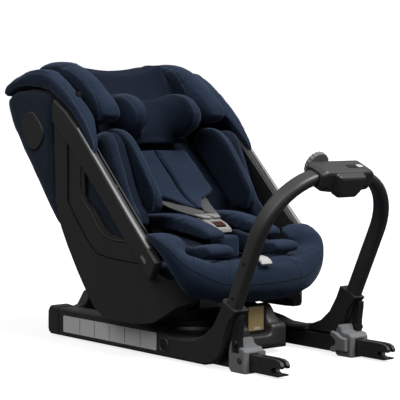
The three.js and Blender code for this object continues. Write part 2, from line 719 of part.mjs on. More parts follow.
addPair('anchors', 'isofix_arm', isofixArm(), COLORS.satin, 0.45, 0.6);
add('anchors', 'isofix_crossbar', isofixCrossbar(), COLORS.steel, 0.4, 1);
addPair('anchors', 'isofix_hook', isofixHook(), COLORS.steel, 0.3, 1);
addPair('anchors', 'release_lever', releaseLever(), COLORS.grey, 0.5);

add('rebound_bar', 'rebound_tube', barTube(), COLORS.satin, 0.45);
add('rebound_bar', 'rebound_housing', reboundHousing(), COLORS.satin, 0.5);
add('rebound_bar', 'rebound_knob', reboundKnob(), COLORS.satin, 0.5);

add('turntable', 'turntable_disc', turntableDisc(), COLORS.plastic);
add('turntable', 'recline_cradle', reclineCradle(), COLORS.plastic);
add('turntable', 'rotation_lever', rotationLever(), COLORS.satin);

add('seat', 'recline_runner', reclineRunner(), COLORS.steel, 0.4, 1);
add('seat', 'seat_shell', seatShell(), COLORS.plastic);
add('seat', 'upper_back_shell', upperBackShell(), COLORS.mesh, 0.9);
addPair('seat', 'side_cover', sideCover(), COLORS.plastic);
addPair('seat', 'inset_panel', insetPanel(), COLORS.plastic);
addPair('seat', 'side_strut', sideStrut(), COLORS.satin, 0.45);
addPair('seat', 'impact_pad', impactPad(), COLORS.plastic, 0.8);
add('seat', 'seat_cushion', seatCushion(), COLORS.navy, 0.9);
add('seat', 'back_cushion', backCushion(), COLORS.navy, 0.9);
addPair('seat', 'wing_cover', wingCover(), COLORS.navy, 0.9);
add('seat', 'back_collar', backCollar(), COLORS.navy, 0.9);
addPair('seat', 'side_pad', sidePad(), COLORS.mesh, 0.9);
addPair('seat', 'body_bolster', bodyBolster(), COLORS.navy, 0.9);
addPair('seat', 'hip_bolster', hipBolster(), COLORS.navy, 0.9);
add('seat', 'crotch_pad', crotchPad(), COLORS.navy, 0.9);
add('seat', 'buckle_body', buckleBody(), COLORS.buckle, 0.5);
add('seat', 'buckle_button', buckleButton(), COLORS.red, 0.4);
add('seat', 'shoulder_pads', shoulderPads(), COLORS.navy, 0.9);
add('seat', 'harness_tab', harnessTab(), COLORS.tab, 0.6);
add('seat', 'recline_handle', reclineHandle(), COLORS.plastic);

add('headrest', 'headrest_core', headrestCore(), COLORS.navy, 0.9);
addPair('headrest', 'headrest_wing', headrestWing(), COLORS.navy, 0.9);
add('headrest', 'head_pillow', headPillow(), COLORS.navy, 0.9);

export default part;
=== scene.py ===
"""Rotating child car seat: fabric, plastics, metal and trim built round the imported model.

Metres, +Z up. The seat faces -Y. The seated child's left is +X.
"""

import math

import bmesh
import bpy
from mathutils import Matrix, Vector
from mathutils.bvhtree import BVHTree
from mathutils.kdtree import KDTree


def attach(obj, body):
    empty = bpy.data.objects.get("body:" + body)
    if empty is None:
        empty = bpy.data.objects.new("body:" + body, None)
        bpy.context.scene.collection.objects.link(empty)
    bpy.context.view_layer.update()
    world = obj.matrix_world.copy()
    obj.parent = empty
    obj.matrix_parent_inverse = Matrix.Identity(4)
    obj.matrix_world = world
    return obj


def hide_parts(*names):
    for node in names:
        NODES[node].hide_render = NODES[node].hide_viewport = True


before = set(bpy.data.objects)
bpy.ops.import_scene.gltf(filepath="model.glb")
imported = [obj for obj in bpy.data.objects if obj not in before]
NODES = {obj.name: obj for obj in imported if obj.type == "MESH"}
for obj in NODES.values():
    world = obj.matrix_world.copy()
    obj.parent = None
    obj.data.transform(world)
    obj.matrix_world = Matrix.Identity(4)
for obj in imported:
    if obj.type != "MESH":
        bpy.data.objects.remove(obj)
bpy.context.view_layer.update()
MM = 0.001
WELD = 1e-5  # metres between points taken as one
SIDES = (("left", 1), ("right", -1))

# ---- Driving places, in millimetres ----
STRUT_FRONT = [(-127, 219), (-67, 276), (32, 375), (108, 450)]  # (y, z), as every side view
# x of the outer face of each strut, its trim, the wing, side cover, shell panel and rail
STRUT_OUTER = 219
TRIM_OUTER = 218
WING_OUTER = 219
COVER_OUTER = 213
SHELL_OUTER = 198
RAIL_OUTER = 172
SIDE_PAD_SEAM = 164  # x where the inner side pads change fabric
PANEL_FRONT = -197  # y of the plate on the front housing
BUTTON_Y, BUTTON_Z = -118, 28  # the sliding button on each rail
BRACKET_X, BRACKET_HALF = 140, 25  # middle and half width of each anchor bracket
ARM_HALF = 11  # half width of the anchor arm in it
BAR_LEAN = 0.4375  # of the rebound bar's legs, from upright, in radians
BAR_FOOT = Vector((0, -313, 126))
BAR_X = 158.5  # middle of each leg
BAR_THICK = 22  # each leg, along x
BAR_RISE = 267  # from the foot to the middle of the grip housing
BAR_DEEP = 33  # the housing's depth
BUCKLE_Y, BUCKLE_Z = -44, 268  # where the tongues enter the buckle
BUCKLE_TILT = 0.2  # its rise per millimetre of y


# ---- Materials ----
class Shader:
    """A Principled material with a few short-hands for its procedural nodes."""

    def __init__(self, name, **inputs):
        self.material = bpy.data.materials.new(name)
        self.material.use_nodes = True
        self.tree = self.material.node_tree
        self.surface = self.tree.nodes["Principled BSDF"]
        self.place = self.node("ShaderNodeTexCoord").outputs["Object"]
        for key, value in inputs.items():
            self.surface.inputs[key.replace("_", " ")].default_value = value

    def node(self, kind, links=None, **settings):
        made = self.tree.nodes.new(kind)
        for key, value in settings.items():
            if key in made.inputs:
                made.inputs[key].default_value = value
            else:
                setattr(made, key, value)
        for key, socket in (links or {}).items():
            self.tree.links.new(socket, made.inputs[key])
        return made

    def noise(self, scale, detail, roughness=0.5, place=None):
        links = {"Vector": place or self.place}
        made = self.node("ShaderNodeTexNoise", links, Scale=scale, Detail=detail)
        made.inputs["Roughness"].default_value = roughness
        return made.outputs["Fac"]

    def cells(self, scale, randomness, place=None):
        made = self.node("ShaderNodeTexVoronoi", {"Vector": place or self.place}, Scale=scale)
        made.inputs["Randomness"].default_value = randomness
        return made.outputs["Distance"]

    def turned(self, angles):
        """The object's coordinates, turned by the given angles."""
        made = self.node("ShaderNodeMapping", {"Vector": self.place})
        made.inputs["Rotation"].default_value = angles
        return made.outputs["Vector"]

    def ramp(self, socket, stops):
        """A blend between two stops, each (position, colour)."""
        made = self.node("ShaderNodeValToRGB", {"Fac": socket})
        for point, (at, colour) in zip(made.color_ramp.elements, stops):
            point.position = at
            point.color = (*colour, 1)
        return made.outputs["Color"]

    def span(self, socket, low, high, start, end):
        """Maps start..end onto low..high, and holds what lies past them."""
        made = self.node("ShaderNodeMapRange", {"Value": socket})
        made.inputs["From Min"].default_value = start
        made.inputs["From Max"].default_value = end
        made.inputs["To Min"].default_value = low
        made.inputs["To Max"].default_value = high
        return made.outputs["Result"]

    def sum(self, first, second, share):
        """The first, plus a share of the second."""
        made = self.node("ShaderNodeMath", operation="MULTIPLY_ADD")
        self.tree.links.new(second, made.inputs[0])
        made.inputs[1].default_value = share
        self.tree.links.new(first, made.inputs[2])
        return made.outputs[0]

    def mix(self, factor, first, second):
        made = self.node("ShaderNodeMix", {"Factor": factor}, data_type="RGBA")
        for socket, value in ((made.inputs[6], first), (made.inputs[7], second)):
            if isinstance(value, tuple):
                socket.default_value = (*value, 1)
            else:
                self.tree.links.new(value, socket)
        return made.outputs[2]

    def bump(self, height, distance, strength):
        made = self.node("ShaderNodeBump", {"Height": height}, Distance=distance, Strength=strength)
        self.link(made.outputs["Normal"], "Normal")

    def link(self, socket, key):
        self.tree.links.new(socket, self.surface.inputs[key])


def knit(name, dark, light, pitch=0.9, holes=0.0, sheen=0.35):
    """Fine knitted cover fabric. pitch and holes are the spacing, in millimetres, of its loops
    and its perforations."""
    s = Shader(name, Roughness=0.82, Sheen_Weight=sheen, Sheen_Roughness=0.45)
    s.surface.inputs["Sheen Tint"].default_value = (0.6, 0.72, 1.0, 1)
    s.surface.inputs["Specular IOR Level"].default_value = 0.04
    loops = s.cells(1000 / pitch, 0.35)
    fuzz = s.noise(2600, 1.0)
    drift = s.noise(14, 3.0)
    tone = s.sum(s.span(loops, 0.25, 0.85, 0.0, 0.8), drift, 0.35)
    colour = s.ramp(tone, [(0.25, light), (0.95, dark)])
    height = s.sum(s.span(loops, 1.0, 0.0, 0.0, 0.8), fuzz, 0.3)
    if holes:
        lattice = s.cells(1000 / holes, 0.0, s.turned((math.radians(45), 0, 0)))
        hole = s.span(lattice, 1.0, 0.0, 0.3, 0.42)
        colour = s.mix(hole, colour, (0.004, 0.006, 0.012))
        height = s.sum(height, hole, -2.5)
    s.link(colour, "Base Color")
    s.bump(height, 0.00035, 0.55)
    return s.material


def moulded(name, colour, roughness, grain=0.5, depth=0.5, shine=0.3):
    """Injection moulded plastic with a fine grain, in millimetres, and faint uneven gloss."""
    s = Shader(name, Roughness=roughness)
    s.surface.inputs["Specular IOR Level"].default_value = shine
    drift = s.noise(9, 3.0)
    speck = s.noise(1000 / grain, 2.0, 0.6)
    lighter = tuple(min(1.0, c * 1.22 + 0.002) for c in colour)
    s.link(s.mix(s.span(drift, 0.2, 0.8, 0.3, 0.7), colour, lighter), "Base Color")
    uneven = s.sum(drift, speck, 0.4)
    s.link(s.span(uneven, roughness - 0.07, roughness + 0.09, 0.4, 1.0), "Roughness")
    s.bump(speck, 0.00012, depth)
    return s.material


def metal(name, colour, roughness, brushed=(1, 1, 14)):
    """Bare or plated metal with drawn lines and slight blotches in its gloss."""
    s = Shader(name, Roughness=roughness, Metallic=1.0)
    lines = s.node("ShaderNodeMapping", {"Vector": s.place})
    lines.inputs["Scale"].default_value = brushed
    streaks = s.noise(220, 3.0, 0.6, lines.outputs["Vector"])
    blotch = s.noise(30, 2.0)
    darker = tuple(c * 0.8 for c in colour)
    s.link(s.mix(blotch, colour, darker), "Base Color")
    uneven = s.sum(blotch, streaks, 0.7)
    s.link(s.span(uneven, roughness - 0.08, roughness + 0.14, 0.5, 1.1), "Roughness")
    s.bump(streaks, 0.00008, 0.35)
    return s.material


def webbing(name, colour, pitch=1.3):
    """Woven belt tape: ribs across it and a faint twill."""
    s = Shader(name, Roughness=0.55, Sheen_Weight=0.2)
    weave = s.cells(1000 / pitch, 0.15, s.turned((math.radians(44), 0, math.radians(18))))
    drift = s.noise(40, 2.0)
    darker = tuple(c * 0.62 for c in colour)
    tone = s.span(s.sum(weave, drift, 0.3), 0.0, 1.0, 0.2, 0.9)
    s.link(s.mix(tone, colour, darker), "Base Color")
    s.bump(s.span(weave, 1.0, 0.0, 0.0, 0.7), 0.0003, 0.6)
    return s.material


NAVY = knit("navy_knit", (0.009, 0.0148, 0.0275), (0.0245, 0.04, 0.073), sheen=0.16)
NAVY_FLAT = knit(
    "navy_flat_knit", (0.0056, 0.0088, 0.016), (0.0125, 0.0195, 0.035), pitch=0.8, sheen=0.05
)
SPACER = knit(
    "spacer_mesh", (0.009, 0.0145, 0.027), (0.024, 0.038, 0.068), pitch=1.1, holes=4.2, sheen=0.2
)
SHELL_KNIT = knit(
    "shell_knit", (0.010, 0.0142, 0.0235), (0.034, 0.0445, 0.066), pitch=2.3, sheen=0.12
)
THREAD = moulded("thread", (0.075, 0.095, 0.135), 0.7, grain=0.3)
PIPING = knit("piping", (0.012, 0.018, 0.032), (0.032, 0.047, 0.078), pitch=0.6)
CHARCOAL = moulded("charcoal_plastic", (0.0155, 0.0157, 0.0162), 0.5)
PANEL = moulded("panel_plastic", (0.0165, 0.0167, 0.017), 0.45, grain=0.7, depth=0.7)
SATIN = moulded(
    "satin_plastic", (0.021, 0.0212, 0.0217), 0.4, grain=0.35, depth=0.3, shine=0.6
)
DEEP = moulded("dark_plastic", (0.004, 0.004, 0.0043), 0.6)
GREY = moulded("grey_plastic", (0.125, 0.127, 0.13), 0.45, grain=0.4, depth=0.3)
STEEL = metal("bare_steel", (0.52, 0.53, 0.55), 0.3)
DARK_STEEL = metal("coated_steel", (0.085, 0.086, 0.09), 0.45, brushed=(1, 12, 1))
SILVER = moulded("silver_trim", (0.17, 0.17, 0.173), 0.38, grain=0.3, depth=0.2, shine=0.7)
BUCKLE = moulded("buckle_plastic", (0.2, 0.195, 0.19), 0.28, depth=0.15, shine=0.6)
RED = moulded("red_plastic", (0.03, 0.0015, 0.0025), 0.25, depth=0.1, shine=0.4)
BELT = webbing("belt_webbing", (0.05, 0.05, 0.051))
# Near-black cords laid in seams and creases: painted shade in the grooves.
SEAM_SHADE = moulded("seam_shadow", (0.0035, 0.005, 0.009), 0.8, grain=0.3)
TAB = webbing("tab_webbing", (0.5, 0.5, 0.49), pitch=1.0)
LABEL = moulded("label_film", (0.42, 0.43, 0.42), 0.3, grain=0.6, depth=0.1)
CARD = moulded("card_film", (0.3, 0.22, 0.1), 0.35, grain=0.6, depth=0.1)


# ---- Mesh helpers ----
CLOTH_STEPS = 20
CLOTH_PRESSURE = 4
CURVE_STEPS = 12  # between two given points, before a curve is spaced out evenly
STITCH, STITCH_GAP, THREAD_RADIUS = 2.6, 1.6, 0.35
TURNED_SIDES = 28
CORNER_STEPS = 4


def add_piece(name, mesh_data, material, body, replaces=(), smooth=True):
    """Makes an object from a bmesh, rides it on its body and hides the nodes it replaces."""
    mesh = bpy.data.meshes.new(name)
    mesh_data.to_mesh(mesh)
    mesh_data.free()
    mesh.materials.append(material)
    for face in mesh.polygons:
        face.use_smooth = smooth
    piece = bpy.data.objects.new(name, mesh)
    bpy.context.collection.objects.link(piece)
    if replaces:
        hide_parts(*replaces)
    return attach(piece, body)


def solid_of(node):
    """A welded copy of a CAD node's mesh."""
    solid = bmesh.new()
    solid.from_mesh(NODES[node].data)
    bmesh.ops.remove_doubles(solid, verts=solid.verts, dist=WELD)
    return solid


def smoothed(solid):
    """Draws every point halfway towards its neighbours."""
    axes = {"use_axis_x": True, "use_axis_y": True, "use_axis_z": True}
    bmesh.ops.smooth_vert(solid, verts=solid.verts, factor=0.5, **axes)


def remeshed(solid, voxel, smoothing):
    """The same solid in even quads, its corners softened."""
    mesh = bpy.data.meshes.new("draft")
    solid.to_mesh(mesh)
    solid.free()
    draft = bpy.data.objects.new("draft", mesh)
    bpy.context.collection.objects.link(draft)
    remesh = draft.modifiers.new("remesh", "REMESH")
    remesh.mode = "VOXEL"
    remesh.voxel_size = voxel
    result = bmesh.new()
    result.from_object(draft, bpy.context.evaluated_depsgraph_get())
    bpy.data.objects.remove(draft)
    for _ in range(smoothing):
        smoothed(result)
    return result


def swell(solid, amount):
    """Moves every point outwards along its normal."""
    solid.normal_update()
    for vert in solid.verts:
        vert.co += vert.normal * amount


def inflate(solid, cap):
    """Lets a padded form swell as cloth under pressure, no point moving further than cap."""
    mesh = bpy.data.meshes.new("pad")
    solid.to_mesh(mesh)
    pad = bpy.data.objects.new("pad", mesh)
    bpy.context.collection.objects.link(pad)
    cloth = pad.modifiers.new("cloth", "CLOTH")
    cloth.settings.quality = 4
    cloth.settings.use_pressure = True
    cloth.settings.uniform_pressure_force = CLOTH_PRESSURE
    cloth.settings.effector_weights.gravity = 0
    cloth.settings.tension_stiffness = 20
    cloth.settings.compression_stiffness = 6
    cloth.settings.bending_stiffness = 0.6
    scene = bpy.context.scene
    for step in range(1, CLOTH_STEPS + 1):
        scene.frame_set(step)
    swollen = pad.evaluated_get(bpy.context.evaluated_depsgraph_get()).data
    for vert, moved in zip(solid.verts, swollen.vertices):
        shift = moved.co - vert.co
        if shift.length > cap:
            shift *= cap / shift.length
        vert.co += shift
    scene.frame_set(1)
    bpy.data.objects.remove(pad)


def subdivided(solid):
    """Halves every edge and evens out the result."""
    bmesh.ops.subdivide_edges(solid, edges=solid.edges, cuts=1, use_grid_fill=True, smooth=0.0)
    smoothed(solid)


def flipped(solid):
    """A copy on the other side of the seat."""
    other = solid.copy()
    bmesh.ops.scale(other, vec=(-1, 1, 1), verts=other.verts)
    bmesh.ops.reverse_faces(other, faces=other.faces)
    return other


def curve_through(points, spacing=4 * MM, closed=False):
    """Evenly spaced points on a smooth curve through the given ones."""
    count = len(points)
    dense = []
    for i in range(count if closed else count - 1):
        if closed:
            a, b, c, d = (points[(i + k) % count] for k in (-1, 0, 1, 2))
        else:
            last = count - 1
            a, b, c, d = (points[min(max(i + k, 0), last)] for k in (-1, 0, 1, 2))
        for k in range(CURVE_STEPS):
            t = k / CURVE_STEPS
            square, cube = 2 * a - 5 * b + 4 * c - d, 3 * b - a - 3 * c + d
            dense.append(0.5 * (2 * b + (c - a) * t + square * t**2 + cube * t**3))
    dense.append(points[0] if closed else points[-1])
    result, left = [dense[0]], spacing
    for a, b in zip(dense, dense[1:]):
        length = (b - a).length
        while length >= left and length > 0:
            a = a.lerp(b, left / length)
            result.append(a)
            length = (b - a).length
            left = spacing
        left -= length
    if not closed and (result[-1] - dense[-1]).length > spacing * 0.3:
        result.append(dense[-1])
    return result


def surface_of(solid):
    """A function from a point to the place on the solid nearest to it, and the normal there."""
    return BVHTree.FromBMesh(solid).find_nearest


def laid_on(points, nearest, lift):
    """The points moved onto the nearest surface, with the surface's normal at each."""
    hits = [nearest(point) for point in points]
    return [hit[0] + hit[1] * lift for hit in hits], [hit[1] for hit in hits]


def lofted(rings):
    """A closed form through rings of points, capped at both ends."""
    made = bmesh.new()
    loops = [[made.verts.new(point) for point in ring] for ring in rings]
    for loop, following in zip(loops, loops[1:]):
        for k in range(len(loop)):
            j = (k + 1) % len(loop)
            made.faces.new((loop[k], loop[j], following[j], following[k]))
    made.faces.new(loops[0][::-1])
    made.faces.new(loops[-1])
    bmesh.ops.recalc_face_normals(made, faces=made.faces)
    return made


def bevelled(solid, width, segments):
    """Takes every edge off a form, by a width in millimetres."""
    edges = solid.edges[:]
    bmesh.ops.bevel(
        solid, geom=edges, offset=width * MM, segments=segments, profile=0.5, affect="EDGES"
    )


def swept(path, ups, section):
    """A closed form with the given section, (across, up) in metres, swept along a path."""
    rings = []
    for i, (point, up) in enumerate(zip(path, ups)):
        before, after = path[max(i - 1, 0)], path[min(i + 1, len(path) - 1)]
        along = (after - before).normalized()
        across = along.cross(up).normalized()
        square_up = across.cross(along)
        rings.append([point + across * u + square_up * v for u, v in section])
    return lofted(rings)


def round_section(radius, sides, flatten=1.0):
    """A circle's points, or an ellipse's if it is flattened."""
    turns = [2 * math.pi * k / sides for k in range(sides)]
    return [(radius * math.cos(t), radius * flatten * math.sin(t)) for t in turns]


def strap_section(width, thick):
    """A belt's section: flat, with soft edges."""
    half, edge = width / 2, thick / 2
    return [
        (half, 0), (half - edge * 0.5, edge), (0, edge), (-half + edge * 0.5, edge),
        (-half, 0), (-half + edge * 0.5, -edge), (0, -edge), (half - edge * 0.5, -edge),
    ]


def merged(parts):
    """Several forms as one. Frees them."""
    whole = bmesh.new()
    for part in parts:
        mesh = bpy.data.meshes.new("part")
        part.to_mesh(mesh)
        part.free()
        whole.from_mesh(mesh)
        bpy.data.meshes.remove(mesh)
    return whole


def stitches(points, nearest):
    """A run of thread stitches lying on a surface."""
    pitch = STITCH + STITCH_GAP
    line, normals = laid_on(curve_through(points, pitch * MM), nearest, 0.2 * MM)
    section = round_section(THREAD_RADIUS * MM, 5)
    runs = []
    for i, point in enumerate(line[:-1]):
        end = point + (line[i + 1] - point) * (STITCH / pitch)
        middle = point.lerp(end, 0.5) + normals[i] * 0.3 * MM
        runs.append(swept([point, middle, end], [normals[i]] * 3, section))
    return merged(runs)


def groove(solid, lines, depth, width):
    """Presses sewn seams into a padded form along the given lines of points."""
    solid.normal_update()
    points = [point for line in lines for point in curve_through(line, 2 * MM)]
    tree = KDTree(len(points))
    for i, point in enumerate(points):
        tree.insert(point, i)
    tree.balance()
    for vert in solid.verts:
        away = tree.find(vert.co)[2]
        if away < width * 3:
            vert.co -= vert.normal * depth * math.exp(-((away / width) ** 2))


def turned(centre, profile):
    """A form turned about the X axis: (radius, x) pairs in millimetres from its centre outwards."""
    rings = []
    for radius, reach in profile:
        circle = round_section(radius, TURNED_SIDES)
        rings.append([(centre + Vector((reach, y, z))) * MM for y, z in circle])
    return lofted(rings)


def slab(outline, low, high, view="side", edge=0.0):
    """A flat outline given thickness: (y, z) along x in side view, (x, z) along y in front view."""
    if view == "side":
        rings = [[Vector((depth, u, v)) * MM for u, v in outline] for depth in (low, high)]
    else:
        rings = [[Vector((u, depth, v)) * MM for u, v in outline] for depth in (low, high)]
    made = lofted(rings)
    if edge:
        bevelled(made, edge, 2)
    return made


def slab_pair(outline, inner, outer):
    """The same slab on each side, between two distances from the middle."""
    return [slab(outline, *sorted((side * inner, side * outer))) for _, side in SIDES]


def rounded(outline, spacing):
    """A closed smooth outline through (u, v) pairs."""
    ring = curve_through([Vector((0, u, v)) for u, v in outline], spacing, closed=True)
    return [(p.y, p.z) for p in ring[:-1]]


def rectangle(u0, u1, v0, v1, corner):
    """The outline of a rectangle with rounded corners."""
    left, right, foot, top = u0 + corner, u1 - corner, v0 + corner, v1 - corner
    points = []
    for quarter, (u, v) in enumerate(((right, foot), (right, top), (left, top), (left, foot))):
        for k in range(CORNER_STEPS + 1):
            angle = math.pi / 2 * (quarter - 1 + k / CORNER_STEPS)
            points.append((u + corner * math.cos(angle), v + corner * math.sin(angle)))
    return points


def inside(outline, u, v):
    """Whether a point lies within a closed outline."""
    within = False
    for (u0, v0), (u1, v1) in zip(outline, outline[1:] + outline[:1]):
        if (v0 > v) != (v1 > v) and u < (u1 - u0) * (v - v0) / (v1 - v0) + u0:
            within = not within
    return within


def clamped(share):
    return min(1.0, max(0.0, share))


def side_points(points, x):
    """(y, z) pairs in millimetres as points at a given x."""
    return [Vector((x, y, z)) * MM for y, z in points]


def on_side(points, side):
    """(x, y, z) triples in millimetres as points on one side of the seat."""
    return [Vector((side * x, y, z)) * MM for x, y, z in points]


FLAT_ANGLE = math.radians(0.6)  # faces nearer than this to one plane become one
EDGE_ANGLE = math.radians(28)  # edges sharper than this are softened


def crisp(node, material, bevel=1.2):
    """Keeps a CAD node and gives it a finish, its edges softened by a bevel in millimetres."""
    piece = NODES[node]
    piece.data.materials.clear()
    piece.data.materials.append(material)
    for face in piece.data.polygons:
        face.use_smooth = True
    weld = piece.modifiers.new("weld", "WELD")
    weld.merge_threshold = WELD
    flat = piece.modifiers.new("flat", "DECIMATE")
    flat.decimate_type = "DISSOLVE"
    flat.angle_limit = FLAT_ANGLE
    soft = piece.modifiers.new("soft", "BEVEL")
    soft.width = bevel * MM
    soft.segments = 2
    soft.limit_method = "ANGLE"
    soft.angle_limit = EDGE_ANGLE
    piece.modifiers.new("shade", "WEIGHTED_NORMAL")


# ---- Padded fabric ----
PANEL_REACH = 1.5  # how far past its seam a side panel's fabric may lie
WIDE = 999  # beyond any x


def halves(left):
    """The left form, then its copy on the right, each with its word and side. Frees the first."""
    for word, side in SIDES:
        yield word, side, left.copy() if side > 0 else flipped(left)
    left.free()


def padded(solid, shrink=1.0, cap=3.0, seams=(), depth=1.8, width=3.0):
    """A remeshed form inflated as cloth, by up to cap, with its seams pressed in."""
    swell(solid, -shrink * MM)
    inflate(solid, cap * MM)
    subdivided(solid)
    if seams:
        groove(solid, seams, depth * MM, width * MM)
    return solid


def pad_form(node, voxel=4.5, smoothing=4, **form):
    """The padded form of a CAD node."""
    return padded(remeshed(solid_of(node), voxel * MM, smoothing), **form)


def add_pad(name, solid, material, body, nodes):
    return add_piece(name, solid, material, body, nodes)


def face_panels(piece, material, panels):
    """Gives parts of a pad their own fabric. A panel is (low x, high x, outline in side view)."""
    piece.data.materials.append(material)
    for face in piece.data.polygons:
        x, y, z = (abs(face.center.x) / MM, face.center.y / MM, face.center.z / MM)
        if any(low < x < high and inside(outline, y, z) for low, high, outline in panels):
            face.material_index = 1


def sew(name, lines, nearest, body, cord=0.0, material=None):
    """A row of thread stitches along lines on a pad, or a thin cord of the given radius: sewn
    piping in the given material, or else a near-black cord of painted shade along the seam.
    """
    runs = []
    for line in lines:
        if cord:
            path, normals = laid_on(curve_through(line), nearest, cord * 0.1 * MM)
            runs.append(swept(path, normals, round_section(cord * MM, 8)))
        else:
            runs.append(stitches(line, nearest))
    # A cord without a material of its own is painted shade in its seam.
    finish = material or (SEAM_SHADE if cord else THREAD)
    add_piece(f"{name}_seam", merged(runs), finish, body)


def pad_pair(name, material, body, seams, rear, flat, **form):
    """A pad on each side. seams gives x and the (y, z) seam of its two faces. rear closes them."""
    lines = [side_points(line, x) for x, line in seams]
    (inner, inner_line), (outer, outer_line) = seams
    panels = (
        (0, inner + PANEL_REACH, [*inner_line, *rear]),
        (outer - PANEL_REACH, WIDE, [*outer_line, *rear]),
    )
    for word, side, solid in halves(pad_form(f"{name}_left", seams=lines, **form)):
        rows = [side_points(line, side * x) for x, line in seams]
        node = f"{name}_{word}"
        sew(node, rows, surface_of(solid), body)
        pad = add_pad(f"{name}_pad_{word}", solid, material, body, [node])
        face_panels(pad, flat, panels)


HEAD_SEAMS = (
    (119, [
        (300, 590), (242, 587), (210, 571), (184, 549), (166, 529), (150, 505), (140, 485),
        (150, 470),
    ]),
    (168, [
        (225, 590), (195, 581), (159, 560), (132, 536), (115, 512), (106, 497), (102, 476),
        (110, 462),
    ]),
)
BOLSTER_SEAMS = (
    (119, [(98, 451), (60, 446), (22, 420), (-19, 373), (-46, 331), (-47, 308), (-33, 274)]),
    (137, [(98, 451), (66, 446), (30, 420), (-13, 373), (-40, 331), (-42, 308), (-30, 274)]),
)
WING_SEAM = [
    (42, 404), (54, 442), (72, 468), (104, 497), (147, 532), (190, 556), (232, 566), (290, 566),
    (345, 552),
]
WING_EDGE = [(56, 402), (110, 456), (172, 503), (208, 511), (250, 526), (330, 536), (380, 518)]


def wing_covers():
    """The quilted cover over the top of each strut and the rim of the shell."""
    seam_x, face = WING_OUTER - 5, (WING_OUTER - 3) * MM
    rows = [WING_SEAM, [(y + 2.5, z - 5) for y, z in WING_SEAM]]
    seams = [side_points(WING_SEAM, seam_x)]
    left = pad_form("wing_cover_left", cap=4, seams=seams, depth=1.2, width=3.5)
    for vert in left.verts:  # the cover thins out towards its lower end
        thinner = 0.72 * clamped((0.475 - vert.co.z) / 0.075)
        vert.co.x = face - (face - vert.co.x) * (1 - thinner)
    for word, side, solid in halves(left):
        nearest, node = surface_of(solid), f"wing_cover_{word}"
        sew(node, [side_points(row, side * (WING_OUTER - 3)) for row in rows], nearest, "seat")
        edge = [side_points(WING_EDGE, side * WING_OUTER)]
        sew(f"wing_edge_{word}", edge, nearest, "seat", cord=1.2, material=PIPING)
        add_pad(f"wing_cover_pad_{word}", solid, NAVY, "seat", [node])
    # The small black loop of tape that shows behind the near wing.
    loop = slab(rectangle(140, 150, 513, 524, 2.5), -192, -183, edge=0.8)
    add_piece("wing_tag_right", loop, DEEP, "seat")


def side_pads():
    """Perforated spacer fabric on the outside of each pad, plain knit on its front inner band."""
    seam = [
        (118, 446), (78, 446), (52, 432), (36, 404), (20, 370), (2, 328), (-20, 290), (-38, 268),
    ]
    seams = [side_points(seam, SIDE_PAD_SEAM)]
    for word, side, solid in halves(pad_form("side_pad_left", cap=3, seams=seams, depth=1.2)):
        node = f"side_pad_{word}"
        sew(node, [side_points(seam, side * SIDE_PAD_SEAM)], surface_of(solid), "seat")
        pad = add_pad(f"side_pad_pad_{word}", solid, NAVY_FLAT, "seat", [node])
        pad.data.materials.append(SPACER)
        for face in pad.data.polygons:
            if abs(face.center.x) > (SIDE_PAD_SEAM - 1) * MM:
                face.material_index = 1


pad_pair(
    "headrest_wing", NAVY, "headrest", HEAD_SEAMS, rear=[(260, 440), (400, 600)],
    flat=NAVY_FLAT, cap=3.5,
)
pad_pair(
    "body_bolster", NAVY, "seat", BOLSTER_SEAMS, rear=[(80, 240), (190, 480)],
    flat=NAVY_FLAT, voxel=4, smoothing=2, cap=2,
)
wing_covers()
side_pads()

UPPER_ROLL = [
    (58, 262), (42, 271), (-20, 275), (-80, 268), (-128, 258), (-160, 247), (-168, 237),
    (-158, 231), (-110, 238), (-40, 247), (30, 247), (52, 252),
]
LOWER_ROLL = [
    (40, 228), (0, 234), (-49, 226), (-97, 219), (-118, 214), (-150, 219), (-182, 224),
    (-197, 216), (-196, 205), (-170, 198), (-130, 193), (-90, 192), (-30, 200), (30, 216),
]


def hip_rolls():
    """Two sewn rolls beside each thigh, a thin upper one over a boot-shaped lower one."""
    for label, outline, depths, smoothing in (
        ("upper", UPPER_ROLL, (52, 98), 6), ("lower", LOWER_ROLL, (56, 122), 8),
    ):
        block = remeshed(slab(rounded(outline, 4.0), *depths), 4 * MM, smoothing)
        for word, _, solid in halves(padded(block, shrink=0.5, cap=3)):
            nodes = [f"hip_bolster_{word}"] if label == "lower" else []
            add_pad(f"hip_{label}_roll_{word}", solid, NAVY, "seat", nodes)


hip_rolls()


PILLOW_WING = [
    (198, 514), (170, 520), (140, 524), (118, 519), (98, 512), (82, 499), (71, 483), (72, 467),
    (78, 454), (92, 442), (108, 432), (126, 426), (140, 424),
]
PILLOW_MIDDLE = [
    (202, 506), (192, 509), (180, 506), (170, 498), (160, 489), (151, 480), (144, 470), (138, 460),
    (134, 448), (131, 436), (130, 426), (133, 417), (142, 411),
]


def pillow():
    """The head hugger, hollowed in one sweep from wing to wing."""
    blocks = [solid_of("head_pillow")]
    steps, pitch, overlap = 14, 4.4, 1.1
    for k in range(steps):
        share = (k / (steps - 1)) ** 2.6
        outline = [
            (y0 + share * (y1 - y0), z0 + share * (z1 - z0))
            for (y0, z0), (y1, z1) in zip(PILLOW_MIDDLE, PILLOW_WING)
        ]
        outline += [(168, 450), (198, 492)]
        blocks += slab_pair(outline, k * pitch, (k + 1) * pitch + overlap)
    seam = [(186, 512), (140, 520), (102, 508), (76, 483), (82, 457), (110, 435), (134, 427)]
    inner_seam, outer_seam = 66, 88
    lines = [side_points(seam, side * x) for _, side in SIDES for x in (inner_seam, outer_seam)]
    solid = padded(remeshed(merged(blocks), 4 * MM, 10), cap=3, seams=lines)
    sew("head_pillow", lines, surface_of(solid), "headrest")
    pad = add_pad("head_pillow_pad", solid, NAVY, "headrest", ["head_pillow"])
    middle = [(60, 400), (60, 540), (240, 540), (240, 400)]
    face_panels(pad, NAVY_FLAT, ((0, inner_seam, middle),))


pillow()


